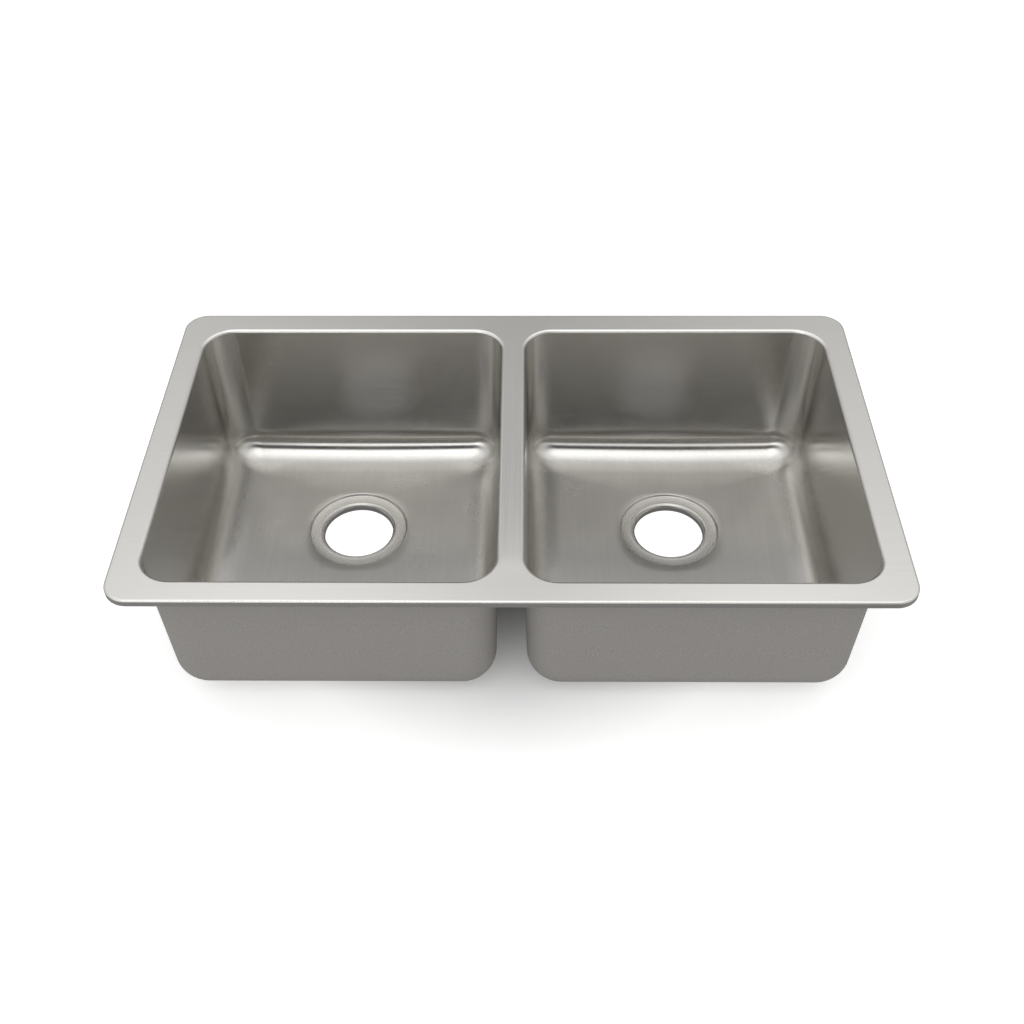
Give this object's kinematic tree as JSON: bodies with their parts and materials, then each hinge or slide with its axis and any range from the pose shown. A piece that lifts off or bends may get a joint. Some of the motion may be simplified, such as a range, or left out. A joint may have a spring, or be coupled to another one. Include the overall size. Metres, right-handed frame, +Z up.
{
  "type": "kitchen sink",
  "caption": "Top-mount double bowl kitchen sink in brushed stainless steel, with pressed drain openings, mounting channels and hold-down clips under the rim.",
  "frame": {"origin": "middle of the rim, on the plane of the worktop that the rim's turned-down edge stands on", "axes": "+X to the right, +Y to the back, +Z up, as seen by someone standing at the sink"},
  "size_m": [0.8382, 0.4826, 0.218],
  "materials": {
    "brushed_stainless": "satin brushed 18 gauge stainless steel, grain along each side of the rim",
    "bowl_stainless": "satin drawn stainless steel inside, matte grey blasted outside",
    "galvanised_channel": "spot-welded galvanised steel channel",
    "zinc_plated_clip": "zinc-plated steel",
    "sound_pad_rubber": "matte black butyl rubber"
  },
  "bodies": {
    "sink": {"front_mounting_channel": "galvanised_channel", "left_bowl": "bowl_stainless", "left_mounting_channel": "galvanised_channel", "left_sound_pad": "sound_pad_rubber", "rear_mounting_channel": "galvanised_channel", "right_bowl": "bowl_stainless", "right_mounting_channel": "galvanised_channel", "right_sound_pad": "sound_pad_rubber", "rim_deck": "brushed_stainless"},
    "front_clip_1_bolt": {"front_clip_1_bolt": "zinc_plated_clip"},
    "front_clip_1_washer": {"front_clip_1_washer": "zinc_plated_clip"},
    "front_clip_1_claw": {"front_clip_1_claw": "zinc_plated_clip"},
    "front_clip_1_nut": {"front_clip_1_nut": "zinc_plated_clip"},
    "front_clip_2_bolt": {"front_clip_2_bolt": "zinc_plated_clip"},
    "front_clip_2_washer": {"front_clip_2_washer": "zinc_plated_clip"},
    "front_clip_2_claw": {"front_clip_2_claw": "zinc_plated_clip"},
    "front_clip_2_nut": {"front_clip_2_nut": "zinc_plated_clip"},
    "front_clip_3_bolt": {"front_clip_3_bolt": "zinc_plated_clip"},
    "front_clip_3_washer": {"front_clip_3_washer": "zinc_plated_clip"},
    "front_clip_3_claw": {"front_clip_3_claw": "zinc_plated_clip"},
    "front_clip_3_nut": {"front_clip_3_nut": "zinc_plated_clip"},
    "rear_clip_1_bolt": {"rear_clip_1_bolt": "zinc_plated_clip"},
    "rear_clip_1_washer": {"rear_clip_1_washer": "zinc_plated_clip"},
    "rear_clip_1_claw": {"rear_clip_1_claw": "zinc_plated_clip"},
    "rear_clip_1_nut": {"rear_clip_1_nut": "zinc_plated_clip"},
    "rear_clip_2_bolt": {"rear_clip_2_bolt": "zinc_plated_clip"},
    "rear_clip_2_washer": {"rear_clip_2_washer": "zinc_plated_clip"},
    "rear_clip_2_claw": {"rear_clip_2_claw": "zinc_plated_clip"},
    "rear_clip_2_nut": {"rear_clip_2_nut": "zinc_plated_clip"},
    "rear_clip_3_bolt": {"rear_clip_3_bolt": "zinc_plated_clip"},
    "rear_clip_3_washer": {"rear_clip_3_washer": "zinc_plated_clip"},
    "rear_clip_3_claw": {"rear_clip_3_claw": "zinc_plated_clip"},
    "rear_clip_3_nut": {"rear_clip_3_nut": "zinc_plated_clip"},
    "left_clip_bolt": {"left_clip_bolt": "zinc_plated_clip"},
    "left_clip_washer": {"left_clip_washer": "zinc_plated_clip"},
    "left_clip_claw": {"left_clip_claw": "zinc_plated_clip"},
    "left_clip_nut": {"left_clip_nut": "zinc_plated_clip"},
    "right_clip_bolt": {"right_clip_bolt": "zinc_plated_clip"},
    "right_clip_washer": {"right_clip_washer": "zinc_plated_clip"},
    "right_clip_claw": {"right_clip_claw": "zinc_plated_clip"},
    "right_clip_nut": {"right_clip_nut": "zinc_plated_clip"}
  },
  "joints": [
    {"name": "front_clip_1_slide", "type": "slide", "parent": "sink", "child": "front_clip_1_bolt", "axis": [1, 0, 0], "range_m": [-0.105, 0.105]},
    {"name": "front_clip_1_lift", "type": "slide", "parent": "front_clip_1_bolt", "child": "front_clip_1_washer", "axis": [0, 0, 1], "range_m": [-0.0024, 0.008]},
    {"name": "front_clip_1_swing", "type": "hinge", "parent": "front_clip_1_washer", "child": "front_clip_1_claw", "pos_m": [0.24273, -0.2223, -0.0121], "axis": [0, 0, 1], "range_deg": [0, 90]},
    {"name": "front_clip_1_nut_spin", "type": "hinge", "parent": "front_clip_1_washer", "child": "front_clip_1_nut", "pos_m": [0.24273, -0.2223, -0.0121], "axis": [0, 0, 1], "range_deg": [-1080, 3600]},
    {"name": "front_clip_2_slide", "type": "slide", "parent": "sink", "child": "front_clip_2_bolt", "axis": [1, 0, 0], "range_m": [-0.105, 0.105]},
    {"name": "front_clip_2_lift", "type": "slide", "parent": "front_clip_2_bolt", "child": "front_clip_2_washer", "axis": [0, 0, 1], "range_m": [-0.0024, 0.008]},
    {"name": "front_clip_2_swing", "type": "hinge", "parent": "front_clip_2_washer", "child": "front_clip_2_claw", "pos_m": [0, -0.2223, -0.0121], "axis": [0, 0, 1], "range_deg": [0, 90]},
    {"name": "front_clip_2_nut_spin", "type": "hinge", "parent": "front_clip_2_washer", "child": "front_clip_2_nut", "pos_m": [0, -0.2223, -0.0121], "axis": [0, 0, 1], "range_deg": [-1080, 3600]},
    {"name": "front_clip_3_slide", "type": "slide", "parent": "sink", "child": "front_clip_3_bolt", "axis": [1, 0, 0], "range_m": [-0.105, 0.105]},
    {"name": "front_clip_3_lift", "type": "slide", "parent": "front_clip_3_bolt", "child": "front_clip_3_washer", "axis": [0, 0, 1], "range_m": [-0.0024, 0.008]},
    {"name": "front_clip_3_swing", "type": "hinge", "parent": "front_clip_3_washer", "child": "front_clip_3_claw", "pos_m": [-0.24273, -0.2223, -0.0121], "axis": [0, 0, 1], "range_deg": [0, 90]},
    {"name": "front_clip_3_nut_spin", "type": "hinge", "parent": "front_clip_3_washer", "child": "front_clip_3_nut", "pos_m": [-0.24273, -0.2223, -0.0121], "axis": [0, 0, 1], "range_deg": [-1080, 3600]},
    {"name": "rear_clip_1_slide", "type": "slide", "parent": "sink", "child": "rear_clip_1_bolt", "axis": [1, 0, 0], "range_m": [-0.105, 0.105]},
    {"name": "rear_clip_1_lift", "type": "slide", "parent": "rear_clip_1_bolt", "child": "rear_clip_1_washer", "axis": [0, 0, 1], "range_m": [-0.0024, 0.008]},
    {"name": "rear_clip_1_swing", "type": "hinge", "parent": "rear_clip_1_washer", "child": "rear_clip_1_claw", "pos_m": [-0.24273, 0.2223, -0.0121], "axis": [0, 0, 1], "range_deg": [0, 90]},
    {"name": "rear_clip_1_nut_spin", "type": "hinge", "parent": "rear_clip_1_washer", "child": "rear_clip_1_nut", "pos_m": [-0.24273, 0.2223, -0.0121], "axis": [0, 0, 1], "range_deg": [-1080, 3600]},
    {"name": "rear_clip_2_slide", "type": "slide", "parent": "sink", "child": "rear_clip_2_bolt", "axis": [1, 0, 0], "range_m": [-0.105, 0.105]},
    {"name": "rear_clip_2_lift", "type": "slide", "parent": "rear_clip_2_bolt", "child": "rear_clip_2_washer", "axis": [0, 0, 1], "range_m": [-0.0024, 0.008]},
    {"name": "rear_clip_2_swing", "type": "hinge", "parent": "rear_clip_2_washer", "child": "rear_clip_2_claw", "pos_m": [0, 0.2223, -0.0121], "axis": [0, 0, 1], "range_deg": [0, 90]},
    {"name": "rear_clip_2_nut_spin", "type": "hinge", "parent": "rear_clip_2_washer", "child": "rear_clip_2_nut", "pos_m": [0, 0.2223, -0.0121], "axis": [0, 0, 1], "range_deg": [-1080, 3600]},
    {"name": "rear_clip_3_slide", "type": "slide", "parent": "sink", "child": "rear_clip_3_bolt", "axis": [1, 0, 0], "range_m": [-0.105, 0.105]},
    {"name": "rear_clip_3_lift", "type": "slide", "parent": "rear_clip_3_bolt", "child": "rear_clip_3_washer", "axis": [0, 0, 1], "range_m": [-0.0024, 0.008]},
    {"name": "rear_clip_3_swing", "type": "hinge", "parent": "rear_clip_3_washer", "child": "rear_clip_3_claw", "pos_m": [0.24273, 0.2223, -0.0121], "axis": [0, 0, 1], "range_deg": [0, 90]},
    {"name": "rear_clip_3_nut_spin", "type": "hinge", "parent": "rear_clip_3_washer", "child": "rear_clip_3_nut", "pos_m": [0.24273, 0.2223, -0.0121], "axis": [0, 0, 1], "range_deg": [-1080, 3600]},
    {"name": "left_clip_slide", "type": "slide", "parent": "sink", "child": "left_clip_bolt", "axis": [0, 1, 0], "range_m": [-0.17, 0.17]},
    {"name": "left_clip_lift", "type": "slide", "parent": "left_clip_bolt", "child": "left_clip_washer", "axis": [0, 0, 1], "range_m": [-0.0024, 0.008]},
    {"name": "left_clip_swing", "type": "hinge", "parent": "left_clip_washer", "child": "left_clip_claw", "pos_m": [-0.4001, 0, -0.0121], "axis": [0, 0, 1], "range_deg": [0, 90]},
    {"name": "left_clip_nut_spin", "type": "hinge", "parent": "left_clip_washer", "child": "left_clip_nut", "pos_m": [-0.4001, 0, -0.0121], "axis": [0, 0, 1], "range_deg": [-1080, 3600]},
    {"name": "right_clip_slide", "type": "slide", "parent": "sink", "child": "right_clip_bolt", "axis": [0, 1, 0], "range_m": [-0.17, 0.17]},
    {"name": "right_clip_lift", "type": "slide", "parent": "right_clip_bolt", "child": "right_clip_washer", "axis": [0, 0, 1], "range_m": [-0.0024, 0.008]},
    {"name": "right_clip_swing", "type": "hinge", "parent": "right_clip_washer", "child": "right_clip_claw", "pos_m": [0.4001, 0, -0.0121], "axis": [0, 0, 1], "range_deg": [0, 90]},
    {"name": "right_clip_nut_spin", "type": "hinge", "parent": "right_clip_washer", "child": "right_clip_nut", "pos_m": [0.4001, 0, -0.0121], "axis": [0, 0, 1], "range_deg": [-1080, 3600]}
  ],
  "couplings": [
    {"joint": "front_clip_1_nut_spin", "follows": "front_clip_1_lift", "rad_per_m": 7854},
    {"joint": "front_clip_2_nut_spin", "follows": "front_clip_2_lift", "rad_per_m": 7854},
    {"joint": "front_clip_3_nut_spin", "follows": "front_clip_3_lift", "rad_per_m": 7854},
    {"joint": "rear_clip_1_nut_spin", "follows": "rear_clip_1_lift", "rad_per_m": 7854},
    {"joint": "rear_clip_2_nut_spin", "follows": "rear_clip_2_lift", "rad_per_m": 7854},
    {"joint": "rear_clip_3_nut_spin", "follows": "rear_clip_3_lift", "rad_per_m": 7854},
    {"joint": "left_clip_nut_spin", "follows": "left_clip_lift", "rad_per_m": 7854},
    {"joint": "right_clip_nut_spin", "follows": "right_clip_lift", "rad_per_m": 7854}
  ]
}
